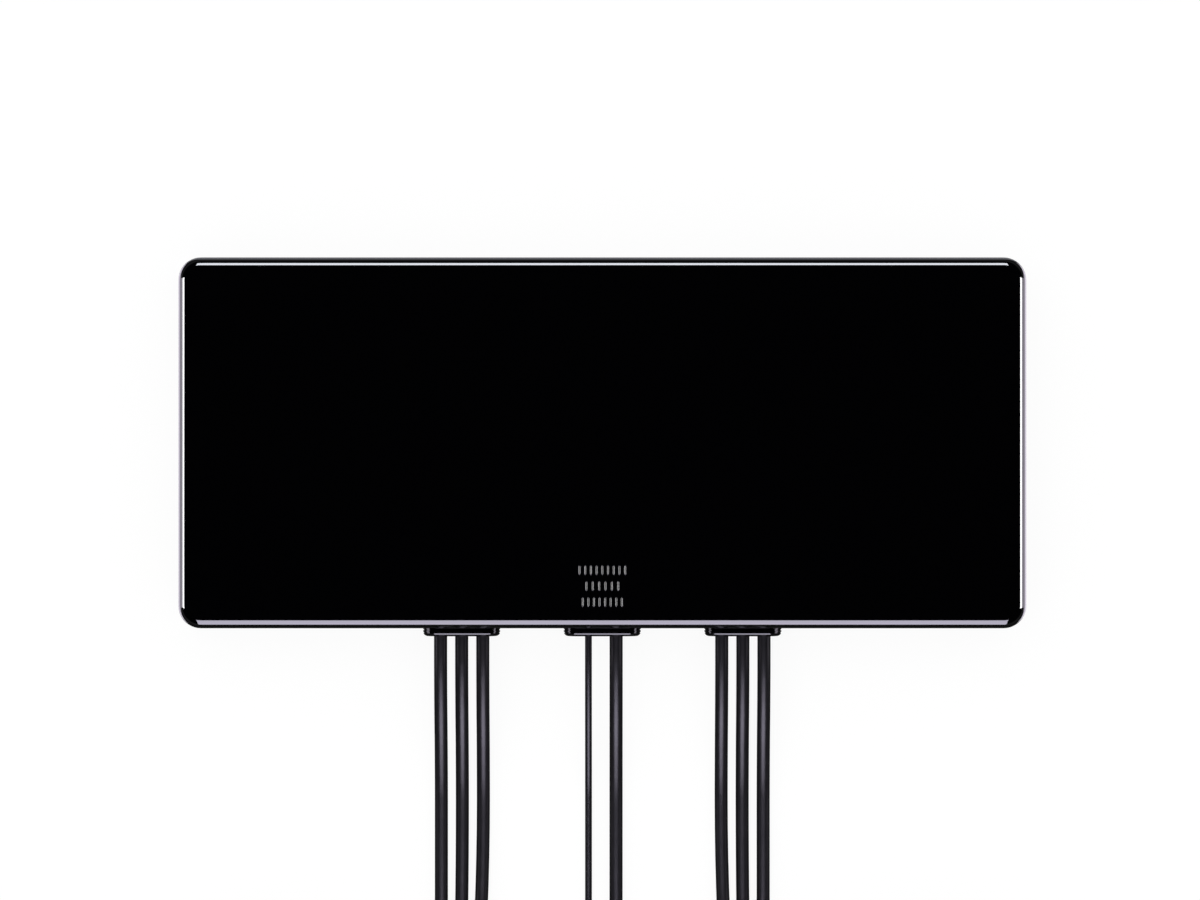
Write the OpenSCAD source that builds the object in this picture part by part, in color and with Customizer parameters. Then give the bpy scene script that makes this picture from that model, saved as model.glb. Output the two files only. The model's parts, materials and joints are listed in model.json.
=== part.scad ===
// Flat-mount combination antenna: a low moulded housing with eight leads that
// leave through three glands. It lies on its mounting face, z = 0, face up.
// The glands are on the -Y side, and the middle of the mounting face is the origin.

/* [Cover] */
// Length of the cover, side to side
cover_w = 320; // [312:1:350]
// Width of the cover, from the plain side to the gland side
cover_d = 140; // [136:1:160]
// Height of the face above the mounting surface
body_h = 24; // [23:0.5:30]
// Radius of the cover's corners, seen from the front
corner_r = 8.5; // [7:0.5:12]
// Radius of the rolled edge round the face
edge_r = 3.8; // [2.8:0.1:5]
// Thickness of the cover's side walls
wall_t = 2.6; // [2.2:0.1:3]
// Thickness of the cover's face
face_t = 2.8; // [2.2:0.1:3.2]
// Width of the ledge that presses on the seal
ledge_w = 5; // [4.5:0.1:6]
// Height of the ledge
ledge_h = 2.5; // [2:0.1:3]

/* [Base] */
// Thickness of the base plate
base_t = 3; // [2.6:0.1:3.6]
// Gap all round between the base plate and the cover's walls
base_gap = 0.3; // [0.1:0.05:0.5]
// Height of the stiffening ribs on the base plate
rib_h = 1.5; // [1:0.1:1.9]
// Thickness of the stiffening ribs
rib_t = 1.6; // [1.2:0.1:2.4]
// Thickness of the foam mounting pads
pad_t = 1; // [0.8:0.1:1.6]
// Length of the middle foam pad
pad_mid_w = 120; // [100:1:130]
// Length of each outer foam pad
pad_side_w = 50; // [40:1:54]
// Width of the foam pads
pad_d = 92; // [80:1:94]
// Distance from the middle to the centre of an outer foam pad
pad_side_x = 117; // [114:1:120]

/* [Seal] */
// Side of the seal's square section
seal_t = 2; // [1.6:0.1:2.4]
// Distance from the cover's inner wall to the middle of the seal
seal_inset = 2.5; // [2.2:0.1:2.8]
// Depth of the seal's groove
groove_depth = 1.5; // [1:0.1:1.8]
// Gap on each side of the seal in its groove
seal_gap = 0.2; // [0.1:0.05:0.3]

/* [Screws] */
// Distance from a cover screw to the cover's end
screw_end_inset = 15; // [13:0.5:18]
// Distance from a cover screw to the cover's long side
screw_side_inset = 15; // [13:0.5:16]
// Distance from the middle to the inner pair of cover screws
screw_inner_x = 27; // [25:0.5:29]
// Distance from the middle to the second pair of cover screws
screw_mid_x = 85; // [82:0.5:88]
// Radius of the cover's screw bosses
boss_r = 4; // [3.5:0.1:4.4]
// Radius of the hole in each screw boss
pilot_r = 1.4; // [1.2:0.05:1.6]
// Length of the cover screws under the head
cover_screw_l = 11; // [8:0.5:14]
// Radius of the cover screws' heads
cover_head_r = 3; // [2.6:0.1:3.4]
// Height of the cover screws' heads
cover_head_h = 1.2; // [1:0.1:1.3]

/* [Mounting] */
// Spacing of the mounting inserts along the body
insert_span_x = 150; // [146:1:156]
// Spacing of the mounting inserts across the body
insert_span_y = 80; // [70:1:84]
// Radius of the bore of a mounting insert
insert_bore_r = 2; // [1.5:0.1:2.2]
// Outer radius of a mounting insert
insert_r = 3; // [2.7:0.1:3.4]
// Length of a mounting insert
insert_l = 4.5; // [4:0.1:5]

/* [Ground plane] */
// Thickness of the aluminium ground plane
plane_t = 1.2; // [0.8:0.1:1.5]
// Height of the posts that hold the ground plane
post_h = 2; // [2:0.1:2.5]
// Gap between the ground plane and the cover's ledge
plane_gap = 4.4; // [4:0.1:6]

/* [Leads and glands] */
// Radius of the thick leads
lead_r = 2.5; // [2.3:0.05:2.6]
// Radius of the thin lead
thin_r = 1.3; // [1.1:0.05:1.5]
// Distance between the leads of one gland
lead_pitch = 8; // [7:0.1:8.5]
// Distance between the two leads of the middle gland
pair_pitch = 10.5; // [9:0.1:12]
// Distance between the glands
gland_pitch = 53.3; // [52:0.1:55]
// Height of the leads above the mounting face
lead_z = 12; // [11.6:0.1:12.4]
// Length of a gland's flange along the wall
gland_w = 29.2; // [28:0.1:31]
// Height of a gland's flange
gland_h = 11; // [10.6:0.1:12]
// Distance that a gland stands out of the wall
gland_out = 3.2; // [2.8:0.1:4]
// Radius of the rounded outer edge of a gland
gland_edge_r = 1.7; // [1.2:0.1:2]
// Depth of the two grooves round a gland's flange
gland_groove = 0.3; // [0.2:0.05:0.4]

/* [Elements] */
// Length of a cellular element
cell_w = 62; // [56:1:63]
// Width of a cellular element
cell_d = 26; // [22:1:28]
// Thickness of a cellular element's sheet
cell_t = 0.8; // [0.6:0.1:1]
// Gap between a cellular element and the cover's face
cell_gap = 3.7; // [2.5:0.1:4]
// Length of a Wi-Fi element's board
wifi_w = 38; // [34:1:40]
// Height of a Wi-Fi element's board
wifi_h = 12; // [11:0.1:12.6]
// Thickness of a Wi-Fi element's board
wifi_t = 1; // [0.8:0.1:1.2]
// Side of the satellite receiver's board
gnss_w = 46; // [44:1:47]
// Thickness of the satellite receiver's board
gnss_t = 1.2; // [1:0.1:1.6]
// Side of the ceramic patch
patch_w = 36; // [30:1:38]
// Thickness of the ceramic patch
patch_t = 4; // [3:0.1:4.5]
// Side of the shield can
shield_w = 28; // [24:1:32]

/* [Connectors] */
// Side of a connector's square housing
plug_w = 9; // [8.6:0.1:10]
// Length of a connector's housing
plug_l = 22; // [20:0.5:24]
// Length of the collar behind a connector's housing
collar_l = 8; // [6:0.5:10]
// Wall of a connector's mouth
mouth_wall = 1; // [0.8:0.05:1.2]
// Depth of a connector's mouth
mouth_depth = 10; // [8:0.5:12]
// Free depth of a mouth in front of its contact pin
mouth_free = 5.5; // [5:0.1:7]

/* [Hidden] */
$fn = 48;
eps = 0.01;

// Heights, from the mounting face up
base_z = pad_t;
base_top = base_z + base_t;
skirt_z = base_z + 0.6;
roof_z = body_h - face_t;
plane_z = base_top + post_h;
plane_top = plane_z + plane_t;
groove_z = base_top - groove_depth;
ledge_z = groove_z + seal_t;
cell_z = roof_z - cell_gap;
gnss_z = plane_top + 4;
gnss_top = gnss_z + gnss_t;

// Outlines
wall_y = -cover_d / 2;
cavity_w = cover_w - 2 * wall_t;
cavity_d = cover_d - 2 * wall_t;
cavity_r = corner_r - wall_t;
plane_w = cavity_w - 2 * (ledge_w + plane_gap);
plane_d = cavity_d - 2 * (ledge_w + plane_gap);
seal_side = seal_t / 2;

// Screws and inserts
screw_y = cover_d / 2 - screw_side_inset;
screw_xs = [screw_inner_x, screw_mid_x, cover_w / 2 - screw_end_inset];
screw_spots = [for (sx = [-1, 1]) for (x = screw_xs) for (sy = [-1, 1]) [sx * x, sy * screw_y]];
pilot_gap = 0.05;
head_gap = 0.2;
head_z = base_z + 0.2;
pilot_l = cover_screw_l + 1;
insert_spots = [for (sx = [-1, 1]) for (sy = [-1, 1]) [sx * insert_span_x / 2, sy * insert_span_y / 2]];
insert_wall = 2;
relief_gap = 0.6;
insert_boss_z = base_z + insert_l + 2.5;
vent_x = insert_span_x / 2;
vent_r = 2.5;
vent_flange_r = 4;
rib_y = cover_d / 2 - 52;
rib_half = cover_d / 2 - 26;
rib_near_x = gland_pitch - 3.3;
rib_far_x = plane_w / 2 - 40;

// Elements and the ground plane's screws
cell_end_gap = 3;
cell_x = plane_w / 2 - cell_end_gap - cell_w / 2;
plane_end_y = plane_d / 2;
cell_in = 24;
cell_step = 48;
cell_ys = [plane_end_y - cell_in - cell_step, plane_end_y - cell_in];
wifi_x = 33.5;
wifi_y = plane_end_y - 34;
wifi_far_y = plane_end_y - 12;
gnss_y = plane_end_y - 46;
standoff_in = 4;
standoff_r = 2.5;
tab_w = 6;
tab_gap = 0.1;
plane_posts = [[cell_x, plane_end_y - 48], [wifi_x + 7, plane_end_y - 9], [16, 25 - plane_end_y]];
plane_spots = [for (sx = [-1, 1]) for (p = plane_posts) [sx * p[0], p[1]]];
plane_screw_r = 1.1;
plane_head_r = 2.2;
plane_head_h = 1.2;
plane_screw_end = 0.4;
screw_clear = 0.2;
hole_clear = 0.5;
pin_r = 0.5;
gnss_screw_r = 0.85;
gnss_screw_l = 4;
gnss_head_r = 1.8;
gnss_head_h = 1;
can_hole_r = 0.6;
can_hole_pitch = 4;
post_r = 3;

// Clamps
clamp_y = wall_y + 17;
clamp_d = 7;
clamp_t = 3;
clamp_half = lead_pitch + lead_r + 5;
clamp_screw_x = lead_pitch + lead_r + 2.4;
clamp_screw_r = 1.1;
clamp_head_r = 2.1;
clamp_head_h = 1.1;
clamp_bite = 6;
clamp_rib = clamp_screw_x - clamp_head_r - 0.6;

// Glands
window_w = gland_w - 4.6;
window_h = gland_h - 3.4;
lip_w = gland_w - 2.2;
lip_h = gland_h - 1.4;
lip_t = 2.4;
exit_y = wall_y - gland_out;

// Coils of lead, their ties and what lies on them
turn_out = 57.8;
turn_in = 20.1;
climb_r = 13.3;
full_turns = 7 * 360;
tie_t = 1;
tie_w = 8;
coil_edge = 2;
coil_in = 17.5;
coil_out = turn_out + lead_r + 0.2;
coil_h = 6 * lead_r;
pair_coil_h = 2 * lead_r + 2 * thin_r;
side_coil = [-122, -245];
middle_coil_at = [0, -296.5];
middle_entry = 62.4;
step_back = 90;
jog = 80;
climb = 160;
tail_l = 14;
side_wind = full_turns - 60;
middle_wind = full_turns - 60 + middle_entry;
tie_gap = 0.05;
tie_slack = 0.6;

// Rectangle with round corners
module round_rect(w, d, r) {
    square([w - 2 * r, d], center = true);
    square([w, d - 2 * r], center = true);
    for (x = [-1, 1]) {
        for (y = [-1, 1]) {
            translate([x * (w / 2 - r), y * (d / 2 - r)]) circle(r);
        }
    }
}

// Section of a plate whose two upper edges are rolled
module rolled_section(w, h, e) {
    translate([-w / 2, 0]) square([w, h - e]);
    translate([-w / 2 + e, 0]) square([w - 2 * e, h]);
    intersection() {
        for (x = [-1, 1]) translate([x * (w / 2 - e), h - e]) circle(e);
        translate([-w / 2, 0]) square([w, h]);
    }
}

// Round plate whose upper edge is rolled
module rolled_puck(r, h, e) {
    rotate_extrude() {
        intersection() {
            rolled_section(2 * r, h, e);
            square([r, h]);
        }
    }
}

// Plate with round corners and a rolled upper edge
module slab(w, d, h, r, e) {
    rotate([90, 0, 90]) linear_extrude(w - 2 * r, center = true) rolled_section(d, h, e);
    rotate([90, 0, 0]) linear_extrude(d - 2 * r, center = true) rolled_section(w, h, e);
    for (x = [-1, 1]) {
        for (y = [-1, 1]) {
            translate([x * (w / 2 - r), y * (d / 2 - r), 0]) rolled_puck(r, h, e);
        }
    }
}

// Obround plate whose upper edge is rolled
module pill(w, h, t, e) {
    rotate([90, 0, 90]) linear_extrude(w - h, center = true) rolled_section(h, t, e);
    for (x = [-1, 1]) translate([x * (w - h) / 2, 0, 0]) rolled_puck(h / 2, t, e);
}

// Flat obround, of a width, a height and a thickness
module obround(w, h, t) {
    linear_extrude(t) {
        square([w - h, h], center = true);
        for (x = [-1, 1]) translate([x * (w - h) / 2, 0]) circle(h / 2);
    }
}

// Screw with a flat head and a cross recess; the head's upper face is at z = 0
module screw(shank_r, shank_l, head_r, head_h) {
    difference() {
        union() {
            translate([0, 0, -head_h]) cylinder(r = head_r, h = head_h);
            translate([0, 0, -head_h - shank_l + shank_r]) cylinder(r = shank_r, h = shank_l - shank_r + eps);
            translate([0, 0, -head_h - shank_l]) cylinder(r1 = shank_r / 3, r2 = shank_r, h = shank_r);
        }
        for (a = [0, 90]) {
            rotate([0, 0, a]) translate([-head_r * 0.55, -0.3, -head_h * 0.6]) {
                cube([head_r * 1.1, 0.6, head_h]);
            }
        }
    }
}

// Leads of a side gland and their radii, from the middle of the gland
side_offsets = [-lead_pitch, 0, lead_pitch];
side_radii = [lead_r, lead_r, lead_r];
pair_offsets = [-pair_pitch / 2, pair_pitch / 2];
pair_radii = [thin_r, lead_r];

module top_cover() {
    color("#0b0b0d") difference() {
        union() {
            difference() {
                translate([0, 0, skirt_z]) slab(cover_w, cover_d, body_h - skirt_z, corner_r, edge_r);
                translate([0, 0, skirt_z - 1]) {
                    slab(cavity_w, cavity_d, roof_z - skirt_z + 1, cavity_r, edge_r - wall_t);
                }
            }
            translate([0, 0, ledge_z]) linear_extrude(ledge_h) difference() {
                round_rect(cavity_w + 1, cavity_d + 1, cavity_r + 0.5);
                round_rect(cavity_w - 2 * ledge_w, cavity_d - 2 * ledge_w, 2);
            }
            for (p = screw_spots) {
                translate([p[0], p[1], base_top]) cylinder(r = boss_r, h = roof_z - base_top + 1);
            }
        }
        for (p = screw_spots) {
            translate([p[0], p[1], base_top - 1]) cylinder(r = pilot_r, h = pilot_l);
        }
        for (x = [-gland_pitch, 0, gland_pitch]) {
            translate([x, wall_y - 1, lead_z]) rotate([-90, 0, 0]) obround(window_w, window_h, wall_t + 2);
        }
    }
}

// Post under the ground plane, with a hole for its screw
module plane_post(p) {
    translate([p[0], p[1], base_top - eps]) cylinder(r = post_r, h = post_h + eps);
}

// Saddle under the leads of one gland, up to the leads' centre line
module saddle(x) {
    translate([x - clamp_half, clamp_y - clamp_d / 2, base_top - eps]) {
        cube([2 * clamp_half, clamp_d, lead_z - base_top + eps]);
    }
}

// Grooves for the leads of one gland
module lead_grooves(x, offsets, radii) {
    for (i = [0 : len(offsets) - 1]) {
        translate([x + offsets[i], clamp_y - clamp_d, lead_z]) {
            rotate([-90, 0, 0]) cylinder(r = radii[i], h = 2 * clamp_d);
        }
    }
}

// Holes for the two screws of one clamp
module clamp_holes(x, r, z, h) {
    for (s = [-1, 1]) translate([x + s * clamp_screw_x, clamp_y, z]) cylinder(r = r, h = h);
}

module all_lead_grooves() {
    for (s = [-1, 1]) lead_grooves(s * gland_pitch, side_offsets, side_radii);
    lead_grooves(0, pair_offsets, pair_radii);
}

module base_plate() {
    base_w = cavity_w - 2 * base_gap;
    base_d = cavity_d - 2 * base_gap;
    rib_end = plane_w / 2 - 4;
    color("#1b1b1d") difference() {
        union() {
            translate([0, 0, base_z]) linear_extrude(base_t) round_rect(base_w, base_d, cavity_r - base_gap);
            for (p = plane_spots) plane_post(p);
            for (p = insert_spots) {
                translate([p[0], p[1], base_top - eps]) {
                    cylinder(r = insert_r + insert_wall, h = insert_boss_z - base_top + eps);
                }
            }
            for (x = [-gland_pitch, 0, gland_pitch]) saddle(x);
            for (y = [-rib_y, rib_y]) {
                translate([-rib_end, y - rib_t / 2, base_top - eps]) cube([2 * rib_end, rib_t, rib_h + eps]);
            }
            for (x = [-rib_far_x, -rib_near_x, 0, rib_near_x, rib_far_x]) {
                translate([x - rib_t / 2, -rib_half, base_top - eps]) {
                    cube([rib_t, 2 * rib_half, rib_h + eps]);
                }
            }
        }
        all_lead_grooves();
        translate([0, 0, groove_z]) linear_extrude(groove_depth + 1) seal_ring(seal_side + seal_gap);
        for (p = screw_spots) {
            translate([p[0], p[1], base_z - 1]) {
                cylinder(r = pilot_r + 0.3, h = base_t + 2);
                cylinder(r = cover_head_r + head_gap, h = cover_head_h + 1 + head_z - base_z);
            }
        }
        for (p = insert_spots) {
            translate([p[0], p[1], base_z - 1]) {
                cylinder(r = insert_r, h = insert_l + 1);
                cylinder(r = insert_bore_r + relief_gap, h = insert_l + 2.5);
            }
        }
        for (p = plane_spots) {
            translate([p[0], p[1], base_top - 1]) cylinder(r = plane_screw_r + pilot_gap, h = post_h + 2);
        }
        translate([vent_x, 0, base_z - 1]) cylinder(r = vent_r, h = base_t + 2);
        for (x = [-gland_pitch, 0, gland_pitch]) {
            clamp_holes(x, clamp_screw_r + pilot_gap, lead_z - 7, 8);
        }
    }
}

// Ring that follows the seal's centre line, of a half width s
module seal_ring(s) {
    ring_w = cavity_w - 2 * seal_inset;
    ring_d = cavity_d - 2 * seal_inset;
    ring_r = cavity_r - seal_inset;
    difference() {
        round_rect(ring_w + 2 * s, ring_d + 2 * s, ring_r + s);
        round_rect(ring_w - 2 * s, ring_d - 2 * s, ring_r - s);
    }
}

module cover_seal() {
    color("#2b2b2e") translate([0, 0, groove_z]) linear_extrude(seal_t) seal_ring(seal_side);
}

module mounting_pads() {
    pad_r = 3;
    color("#3a3a3c") linear_extrude(pad_t) {
        round_rect(pad_mid_w, pad_d, pad_r);
        for (s = [-1, 1]) translate([s * pad_side_x, 0]) round_rect(pad_side_w, pad_d, pad_r);
    }
}

module mount_inserts() {
    color("#c8a24a") for (p = insert_spots) {
        translate([p[0], p[1], base_z]) difference() {
            cylinder(r = insert_r, h = insert_l);
            translate([0, 0, -1]) cylinder(r = insert_bore_r, h = insert_l + 2);
            for (z = [insert_l / 3, 2 * insert_l / 3]) {
                translate([0, 0, z - 0.3]) difference() {
                    cylinder(r = insert_r + 1, h = 0.6);
                    translate([0, 0, -1]) cylinder(r = insert_r - 0.4, h = 3);
                }
            }
        }
    }
}

module vent_plug() {
    color("#77777a") translate([vent_x, 0, 0]) difference() {
        union() {
            translate([0, 0, base_z + 0.4]) cylinder(r = vent_r, h = base_t - 0.4 + eps);
            translate([0, 0, base_top]) cylinder(r = vent_flange_r, h = 1);
        }
        translate([0, 0, base_z - 1]) cylinder(r = vent_r - 1, h = base_t);
    }
}

module cover_screws() {
    color("#8f9296") for (p = screw_spots) {
        translate([p[0], p[1], head_z]) rotate([180, 0, 0]) {
            screw(pilot_r - pilot_gap, cover_screw_l, cover_head_r, cover_head_h);
        }
    }
}

module ground_plane() {
    color("#b9bcc0") difference() {
        translate([0, 0, plane_z]) linear_extrude(plane_t) round_rect(plane_w, plane_d, 3);
        for (p = screw_spots) {
            translate([p[0], p[1], plane_z - 1]) cylinder(r = boss_r + hole_clear, h = plane_t + 2);
        }
        for (p = insert_spots) {
            translate([p[0], p[1], plane_z - 1]) {
                cylinder(r = insert_r + insert_wall + hole_clear, h = plane_t + 2);
            }
        }
        for (p = plane_spots) {
            translate([p[0], p[1], plane_z - 1]) cylinder(r = plane_screw_r + screw_clear, h = plane_t + 2);
        }
        for (x = [-gland_pitch, 0, gland_pitch]) {
            translate([x - clamp_half - hole_clear, wall_y, plane_z - 1]) {
                cube([
                    2 * (clamp_half + hole_clear),
                    clamp_y - wall_y + clamp_d / 2 + hole_clear,
                    plane_t + 2
                ]);
            }
        }
        for (b = wifi_places) {
            translate([b[0], b[1], plane_z - 1]) rotate([0, 0, b[2]]) {
                for (s = [-1, 1]) {
                    translate([s * wifi_w / 3, 0, (plane_t + 2) / 2]) {
                        cube([tab_w + 2 * tab_gap, wifi_t + 2 * tab_gap, plane_t + 2], center = true);
                    }
                }
            }
        }
        for (p = standoff_spots) {
            translate([p[0], p[1], plane_z - 1]) cylinder(r = standoff_r - 1, h = plane_t + 2);
        }
    }
}

module plane_screws() {
    color("#9a9da1") for (p = plane_spots) {
        translate([p[0], p[1], plane_top + plane_head_h]) {
            screw(plane_screw_r, plane_t + post_h + plane_screw_end, plane_head_r, plane_head_h);
        }
    }
}

// Cellular element: a flat sheet with a slot, a folded leg and foot at its outer
// end, and a short feed leg at its inner end. The inner end is towards +X.
module cell_element(x, y, side) {
    leg_w = 10;
    foot_l = 8;
    feed_w = 6;
    top = cell_z;
    color("#c3a15c") translate([x, y, 0]) mirror([side > 0 ? 1 : 0, 0, 0]) difference() {
        union() {
            translate([-cell_w / 2 + cell_t, -cell_d / 2, top - cell_t]) {
                cube([cell_w - 2 * cell_t, cell_d, cell_t]);
            }
            translate([-cell_w / 2, -leg_w / 2, plane_top]) {
                rotate([-90, 0, 0]) folded_corner(leg_w, top - plane_top);
            }
            translate([-cell_w / 2, -leg_w / 2, plane_top]) cube([foot_l, leg_w, cell_t]);
            translate([cell_w / 2, feed_w / 2, plane_top]) rotate([0, 0, 180]) {
                rotate([-90, 0, 0]) folded_corner(feed_w, top - plane_top);
            }
            translate([cell_w / 2 - cell_t, -feed_w / 2, lead_z - 3]) {
                cube([cell_t, feed_w, top - lead_z]);
            }
        }
        translate([-cell_w / 2 + 12, -1.5, top - 2]) cube([cell_w - 24, 3, 4]);
        translate([cell_w / 2 - 2 * cell_t, -feed_w / 2 - 1, plane_top - 1]) {
            cube([3 * cell_t, feed_w + 2, lead_z - 3 - plane_top + 1]);
        }
        translate([cell_w / 2 - 2, 0, lead_z]) rotate([0, 90, 0]) cylinder(r = 0.6, h = 4);
        translate([-cell_w / 2 + foot_l - 2.5, 0, plane_top - 1]) cylinder(r = 1, h = 3);
    }
}

// Upright leg under the sheet, with a rounded outer bend at its upper end
module folded_corner(w, h) {
    bend = 2 * cell_t;
    translate([0, 0, w]) mirror([0, 0, 1]) linear_extrude(w) {
        translate([0, -h + bend]) square([cell_t, h - bend]);
        difference() {
            intersection() {
                translate([bend, -h + bend]) circle(bend);
                translate([0, -h]) square([bend, bend]);
            }
            translate([bend, -h + bend]) circle(bend - cell_t);
        }
        translate([bend, -h]) square([bend, cell_t]);
    }
}

// Centre and turn of each Wi-Fi board
wifi_places = [[-wifi_x, wifi_y, 90], [0, wifi_far_y, 0], [wifi_x, wifi_y, 90]];
// Centres of the satellite receiver's standoffs
standoff_spots = [
    for (x = [-1, 1]) for (y = [-1, 1])
        [x * (gnss_w / 2 - standoff_in + 1), gnss_y + y * (gnss_w / 2 - standoff_in + 1)]
];

// Upright board with two tabs in the ground plane and two notches in its upper edge
module wifi_element(i) {
    b = wifi_places[i];
    color("#1f5a36") translate([b[0], b[1], plane_top]) rotate([0, 0, b[2]]) difference() {
        union() {
            translate([-wifi_w / 2, -wifi_t / 2, 0]) cube([wifi_w, wifi_t, wifi_h]);
            for (s = [-1, 1]) {
                translate([s * wifi_w / 3 - tab_w / 2, -wifi_t / 2, -plane_t]) {
                    cube([tab_w, wifi_t, plane_t + eps]);
                }
            }
        }
        for (s = [-1, 1]) {
            translate([s * wifi_w / 4 - 1, -wifi_t, wifi_h - 4]) cube([2, 2 * wifi_t, 6]);
        }
    }
}

module gnss_board() {
    color("#1f5a36") difference() {
        translate([0, gnss_y, gnss_z]) linear_extrude(gnss_t) round_rect(gnss_w, gnss_w, 2);
        for (p = standoff_spots) translate([p[0], p[1], gnss_z - 1]) cylinder(r = 1.2, h = gnss_t + 2);
        translate([0, gnss_y, gnss_z - 1]) cylinder(r = pin_r, h = gnss_t + 2);
    }
}

module gnss_patch() {
    chamfer = 3;
    color("#d9d4c8") translate([0, gnss_y, gnss_top]) {
        difference() {
            linear_extrude(patch_t) difference() {
                square(patch_w, center = true);
                for (a = [0, 180]) {
                    rotate(a) translate([patch_w / 2, patch_w / 2]) rotate(45) square(chamfer, center = true);
                }
            }
            translate([0, 0, -1]) cylinder(r = pin_r, h = patch_t + 2);
        }
        translate([0, 0, -gnss_t]) cylinder(r = pin_r, h = gnss_t + patch_t);
        translate([0, 0, patch_t - eps]) cylinder(r = 1.1, h = 0.4);
    }
}

module gnss_shield() {
    can_h = gnss_z - plane_top - 1;
    can_t = 0.3;
    color("#b4b6b8") translate([0, gnss_y, gnss_z - can_h]) difference() {
        linear_extrude(can_h) round_rect(shield_w, shield_w, 1);
        translate([0, 0, can_t]) linear_extrude(can_h) {
            round_rect(shield_w - 2 * can_t, shield_w - 2 * can_t, 0.7);
        }
        for (x = [-2 : 2]) {
            for (y = [-2 : 2]) {
                translate([x * can_hole_pitch, y * can_hole_pitch, -1]) cylinder(r = can_hole_r, h = 3);
            }
        }
    }
}

module gnss_standoffs() {
    color("#b08d3e") for (p = standoff_spots) {
        translate([p[0], p[1], plane_top]) difference() {
            union() {
                cylinder(r = standoff_r, h = gnss_z - plane_top);
                translate([0, 0, -plane_t]) cylinder(r = standoff_r - 1, h = plane_t + eps);
            }
            translate([0, 0, 0.6]) cylinder(r = 0.9, h = gnss_z);
        }
    }
}

module gnss_screws() {
    color("#9a9da1") for (p = standoff_spots) {
        translate([p[0], p[1], gnss_top + gnss_head_h]) {
            screw(gnss_screw_r, gnss_screw_l, gnss_head_r, gnss_head_h);
        }
    }
}

// Moulded rubber gland: a rounded flange with two grooves outside the wall, a neck
// in the window and a lip behind the wall, with one close bore for each lead
module gland(x, offsets, radii) {
    groove_w = 0.45;
    color("#101012") translate([x, wall_y, lead_z]) rotate([90, 0, 0]) difference() {
        union() {
            pill(gland_w, gland_h, gland_out, gland_edge_r);
            translate([0, 0, -wall_t - eps]) obround(window_w, window_h, wall_t + 2 * eps);
            translate([0, 0, -wall_t - lip_t]) obround(lip_w, lip_h, lip_t);
        }
        for (z = [0.6, 1.6]) {
            translate([0, 0, z]) difference() {
                obround(gland_w + 2, gland_h + 2, groove_w);
                translate([0, 0, -1]) {
                    obround(gland_w - 2 * gland_groove, gland_h - 2 * gland_groove, groove_w + 2);
                }
            }
        }
        for (i = [0 : len(offsets) - 1]) {
            translate([offsets[i], 0, -wall_t - lip_t - 1]) {
                cylinder(r = radii[i], h = wall_t + lip_t + gland_out + 2);
            }
        }
    }
}

module left_gland() { gland(-gland_pitch, side_offsets, side_radii); }
module middle_gland() { gland(0, pair_offsets, pair_radii); }
module right_gland() { gland(gland_pitch, side_offsets, side_radii); }

// Bar that holds the leads of one gland down in their saddle
module lead_clamp(x, offsets, radii) {
    color("#1b1b1d") difference() {
        union() {
            translate([x - clamp_half, clamp_y - clamp_d / 2, lead_z]) {
                cube([2 * clamp_half, clamp_d, clamp_t]);
            }
            translate([x - clamp_rib, clamp_y - 0.8, lead_z + clamp_t - eps]) {
                cube([2 * clamp_rib, 1.6, 1.2]);
            }
        }
        lead_grooves(x, offsets, radii);
        clamp_holes(x, clamp_screw_r + screw_clear, lead_z - 1, clamp_t + 2);
    }
}

module left_lead_clamp() { lead_clamp(-gland_pitch, side_offsets, side_radii); }
module middle_lead_clamp() { lead_clamp(0, pair_offsets, pair_radii); }
module right_lead_clamp() { lead_clamp(gland_pitch, side_offsets, side_radii); }

module clamp_screws() {
    color("#9a9da1") for (x = [-gland_pitch, 0, gland_pitch]) {
        for (s = [-1, 1]) {
            translate([x + s * clamp_screw_x, clamp_y, lead_z + clamp_t + clamp_head_h]) {
                screw(clamp_screw_r, clamp_t + clamp_bite, clamp_head_r, clamp_head_h);
            }
        }
    }
}

// Straight stretch of a lead inside the body, along +Y from y0 to y1
module inner_run(x, y0, y1, r) {
    translate([x, y0, lead_z]) rotate([-90, 0, 0]) cylinder(r = r, h = y1 - y0);
}

// Quarter bend of a lead that runs along +Y into it and leaves it to the side s
module inner_bend(x, y, bend, s, r) {
    translate([x + s * bend, y, lead_z]) mirror([s < 0 ? 0 : 1, 0, 0]) {
        rotate_extrude(angle = 90) translate([bend, 0]) circle(r);
    }
}

// Stretch of a lead along X, from x0 to x1
module cross_run(x0, x1, y, r) {
    translate([min(x0, x1), y, lead_z]) rotate([0, 90, 0]) cylinder(r = r, h = abs(x1 - x0));
}

// Lead that runs up from the gland, turns once to the side s and ends at x1
module turned_lead(x, y1, s, bend, x1, r) {
    inner_run(x, exit_y, y1 - bend, r);
    inner_bend(x, y1 - bend, bend, s, r);
    cross_run(x + s * bend, x1, y1, r);
}

// Inner stretches of the three leads of a side gland, drawn for the left side
module side_inner_leads() {
    feed_x = -(cell_x - cell_w / 2);
    core_r = 0.6;
    stop = 2;
    outer_x = -gland_pitch - lead_pitch;
    turned_lead(outer_x, cell_ys[0], -1, 15, feed_x + stop, lead_r);
    cross_run(feed_x - cell_t, feed_x + stop + 1, cell_ys[0], core_r);
    turned_lead(-gland_pitch, cell_ys[1], -1, 15, feed_x + stop, lead_r);
    cross_run(feed_x - cell_t, feed_x + stop + 1, cell_ys[1], core_r);
    turned_lead(-gland_pitch + lead_pitch, wifi_y, 1, 8, -wifi_x - wifi_t / 2, lead_r);
}

module left_inner_leads() {
    color("#1a1a1c") side_inner_leads();
}

module right_inner_leads() {
    color("#1a1a1c") mirror([1, 0, 0]) side_inner_leads();
}

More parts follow.
